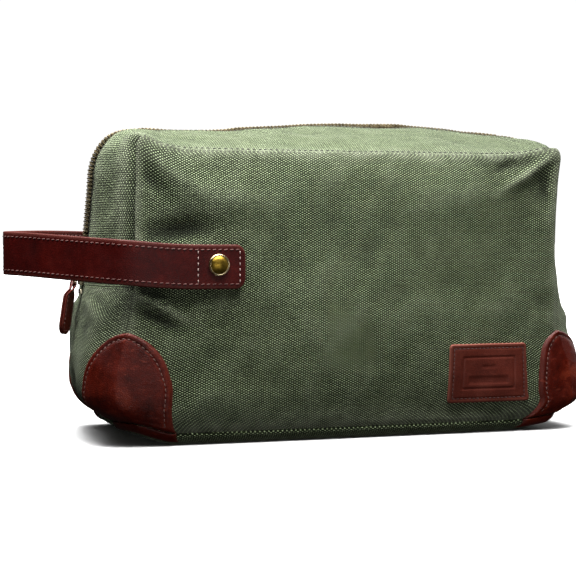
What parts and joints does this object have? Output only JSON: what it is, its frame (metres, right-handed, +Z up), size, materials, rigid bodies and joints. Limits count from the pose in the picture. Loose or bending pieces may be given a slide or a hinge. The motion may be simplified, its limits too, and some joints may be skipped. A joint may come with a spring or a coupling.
{
  "type": "toiletry bag",
  "caption": "Boxy canvas wash bag with a zip over the top and both ends, leather corners and label, and a riveted leather loop handle at one end.",
  "frame": {"origin": "centre of the flat underside of the base, on the surface the bag stands on", "axes": "+X along the bag's length away from the handle end, -Y out of the front that carries the label, +Z up"},
  "size_m": [0.3504, 0.144, 0.1874],
  "materials": {
    "canvas": "coarse waxed plain-weave cotton canvas, olive green",
    "corner_leather": "semi-gloss red-brown pull-up leather",
    "strap_leather": "semi-gloss dark red-brown leather, two plies",
    "label_leather": "satin red-brown leather with a plain embossed border",
    "antique_brass": "satin antique brass",
    "zip_metal": "dull antique brass teeth",
    "zip_tape": "woven zip tape, dark olive",
    "lining": "plain tan cotton lining"
  },
  "bodies": {
    "bag": {"back_panel": "canvas", "bottom_panel": "canvas", "corner_base_left_front": "corner_leather", "corner_base_left_rear": "corner_leather", "corner_base_right_front": "corner_leather", "corner_base_right_rear": "corner_leather", "corner_patch_left_front": "corner_leather", "corner_patch_left_rear": "corner_leather", "corner_patch_right_front": "corner_leather", "corner_patch_right_rear": "corner_leather", "front_panel": "canvas", "gusset_left_front": "canvas", "gusset_left_rear": "canvas", "gusset_right_front": "canvas", "gusset_right_rear": "canvas", "label_patch": "label_leather", "left_end_panel": "canvas", "lining_base": "lining", "lining_front": "lining", "lining_left": "lining", "lining_rear": "lining", "lining_right": "lining", "right_end_panel": "canvas", "rivet_front": "antique_brass", "rivet_rear": "antique_brass", "rivet_washer_front": "antique_brass", "rivet_washer_rear": "antique_brass", "strap_anchor_front": "strap_leather", "strap_anchor_rear": "strap_leather", "zip_chain_left_front": "zip_metal", "zip_chain_left_rear": "zip_metal", "zip_chain_right_front": "zip_metal", "zip_chain_right_rear": "zip_metal", "zip_stop_left": "zip_metal", "zip_stop_right": "zip_metal", "zip_tape_left_front": "zip_tape", "zip_tape_left_rear": "zip_tape", "zip_tape_right_front": "zip_tape", "zip_tape_right_rear": "zip_tape"},
    "front_flap": {"gusset_top_front": "canvas", "zip_chain_top_front": "zip_metal", "zip_tape_top_front": "zip_tape"},
    "rear_flap": {"gusset_top_rear": "canvas", "zip_chain_top_rear": "zip_metal", "zip_tape_top_rear": "zip_tape"},
    "slider": {"slider_body": "antique_brass"},
    "pull_tab": {"pull_tab": "antique_brass"},
    "leather_pull": {"leather_pull": "corner_leather"},
    "handle": {"strap_loop": "strap_leather", "strap_backing": "strap_leather"}
  },
  "joints": [
    {"name": "slider_travel", "type": "slide", "parent": "bag", "child": "slider", "axis": [0.0929, 0, 0.9957], "range_m": [0, 0.045]},
    {"name": "tab_swing", "type": "hinge", "parent": "slider", "child": "pull_tab", "pos_m": [-0.14958, 0, 0.09582], "axis": [0, 1, 0], "range_deg": [-2, 120]},
    {"name": "pull_swing", "type": "hinge", "parent": "pull_tab", "child": "leather_pull", "pos_m": [-0.15209, 0, 0.09053], "axis": [0, 1, 0], "range_deg": [-2, 50]},
    {"name": "front_flap_fold", "type": "hinge", "parent": "bag", "child": "front_flap", "pos_m": [0, -0.0615, 0.166], "axis": [1, 0, 0], "range_deg": [0, 75]},
    {"name": "rear_flap_fold", "type": "hinge", "parent": "bag", "child": "rear_flap", "pos_m": [0, 0.0615, 0.166], "axis": [-1, 0, 0], "range_deg": [0, 75]},
    {"name": "handle_flex", "type": "hinge", "parent": "bag", "child": "handle", "pos_m": [-0.098, 0, 0.103], "axis": [0, 1, 0], "range_deg": [-8, 12], "stiffness_Nm_per_rad": 1.2, "springref_deg": 0.37}
  ]
}
